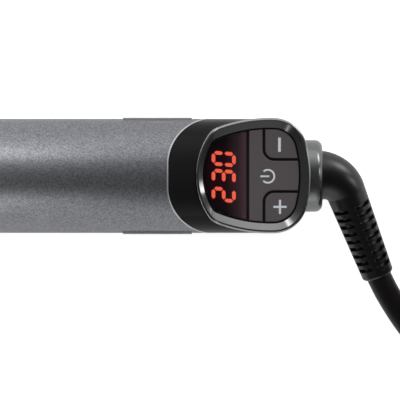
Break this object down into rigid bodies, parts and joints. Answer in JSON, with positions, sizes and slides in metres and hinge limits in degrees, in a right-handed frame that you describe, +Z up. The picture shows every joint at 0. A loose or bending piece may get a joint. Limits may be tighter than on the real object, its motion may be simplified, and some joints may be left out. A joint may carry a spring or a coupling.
{
  "type": "curling iron",
  "caption": "Curling iron with a heated round barrel, a sprung clamp with a thumb lever, a grey grip, a digital control pod with push keys, and a swivel cord with a plug.",
  "frame": {"origin": "on the surface it lies on, under the middle of the iron without its cord", "axes": "+X along the handle from the barrel's tip to the cord's end, +Z up out of the control panel, +Y to the left seen from the tip end"},
  "size_m": [0.5268, 0.0853, 0.0576],
  "materials": {
    "handle_paint": "satin metallic paint",
    "housing_black": "gloss",
    "trim_chrome": "bright plating",
    "grip_rubber": "matt",
    "screw_steel": "satin",
    "bezel_plating": "dark chrome plating",
    "inner_plastic": "matt",
    "smoked_lens": "polished, smoked",
    "display_black": "satin",
    "digit_red": "lit",
    "digit_dark": "unlit",
    "key_grey": "satin",
    "legend_white": "satin",
    "board_green": "varnished",
    "component_mix": "satin",
    "wire_insulation": "satin",
    "collar_gunmetal": "gloss gunmetal paint",
    "bearing_plastic": "natural",
    "contact_brass": "plain",
    "boot_rubber": "matt",
    "cord_black": "satin",
    "tie_rubber": "matt",
    "plug_black": "satin",
    "pin_nickel": "nickel plated",
    "guard_black": "satin",
    "heat_bush": "heat resistant",
    "barrel_coating": "dark ceramic coating",
    "spreader_aluminium": "extruded",
    "heater_ceramic": "unglazed",
    "foot_pad_rubber": "matt",
    "clamp_steel": "dark ceramic coating",
    "bright_steel": "satin",
    "spring_wire": "drawn"
  },
  "bodies": {
    "iron": {"handle_lower_shell": "handle_paint", "handle_upper_shell": "handle_paint", "control_housing": "housing_black", "housing_trim": "trim_chrome", "side_grip_pads": "grip_rubber", "handle_screws": "screw_steel", "control_bezel": "bezel_plating", "button_frame": "inner_plastic", "display_lens": "smoked_lens", "display_module": "display_black", "display_digits": "digit_red", "display_dark_bars": "digit_dark", "control_board": "board_green", "control_switches": "component_mix", "board_screws": "screw_steel", "power_board": "board_green", "power_components": "component_mix", "control_ribbon": "wire_insulation", "mains_leads": "wire_insulation", "cord_collar": "collar_gunmetal", "swivel_bush": "bearing_plastic", "brush_holder": "inner_plastic", "contact_brushes": "contact_brass", "heat_guard": "guard_black", "barrel_bush": "heat_bush", "barrel_tube": "barrel_coating", "cool_tip": "guard_black", "heat_spreader_upper": "spreader_aluminium", "heat_spreader_lower": "spreader_aluminium", "ceramic_heater": "heater_ceramic", "heater_leads": "wire_insulation", "thermistor": "heater_ceramic", "thermal_fuse": "bright_steel", "rest_foot": "guard_black", "foot_pad": "foot_pad_rubber", "clamp_bracket": "bright_steel", "clamp_pin": "bright_steel", "clamp_spring": "spring_wire"},
    "clamp": {"clamp_spoon": "clamp_steel", "thumb_lever": "guard_black", "lever_rivet": "bright_steel", "clamp_spring_leg": "spring_wire"},
    "power_key": {"power_button": "key_grey", "power_legend": "legend_white"},
    "minus_key": {"minus_button": "key_grey", "minus_legend": "legend_white"},
    "plus_key": {"plus_button": "key_grey", "plus_legend": "legend_white"},
    "cord_swivel": {"swivel_journal": "inner_plastic", "slip_rings": "contact_brass", "cord_boot": "boot_rubber", "cord_lead": "cord_black", "cord_hank": "cord_black", "cord_tail": "cord_black", "cord_tie": "tie_rubber", "plug_body": "plug_black", "plug_pins": "pin_nickel", "plug_pin_sleeves": "plug_black"}
  },
  "joints": [
    {"name": "clamp_hinge", "type": "hinge", "parent": "iron", "child": "clamp", "pos_m": [-0.0089, 0, 0.0343], "axis": [0, 1, 0], "range_deg": [0, 18], "stiffness_Nm_per_rad": 0.5, "springref_deg": -17.19},
    {"name": "power_press", "type": "slide", "parent": "iron", "child": "power_key", "axis": [0, 0, -1], "range_m": [0, 0.0004], "stiffness_N_per_m": 3000, "springref_m": -0.0001},
    {"name": "minus_press", "type": "slide", "parent": "iron", "child": "minus_key", "axis": [0, 0, -1], "range_m": [0, 0.0004], "stiffness_N_per_m": 3000, "springref_m": -0.0001},
    {"name": "plus_press", "type": "slide", "parent": "iron", "child": "plus_key", "axis": [0, 0, -1], "range_m": [0, 0.0004], "stiffness_N_per_m": 3000, "springref_m": -0.0001},
    {"name": "cord_turn", "type": "hinge", "parent": "iron", "child": "cord_swivel", "pos_m": [0.1556, 0, 0.017], "axis": [1, 0, 0], "continuous": true}
  ]
}
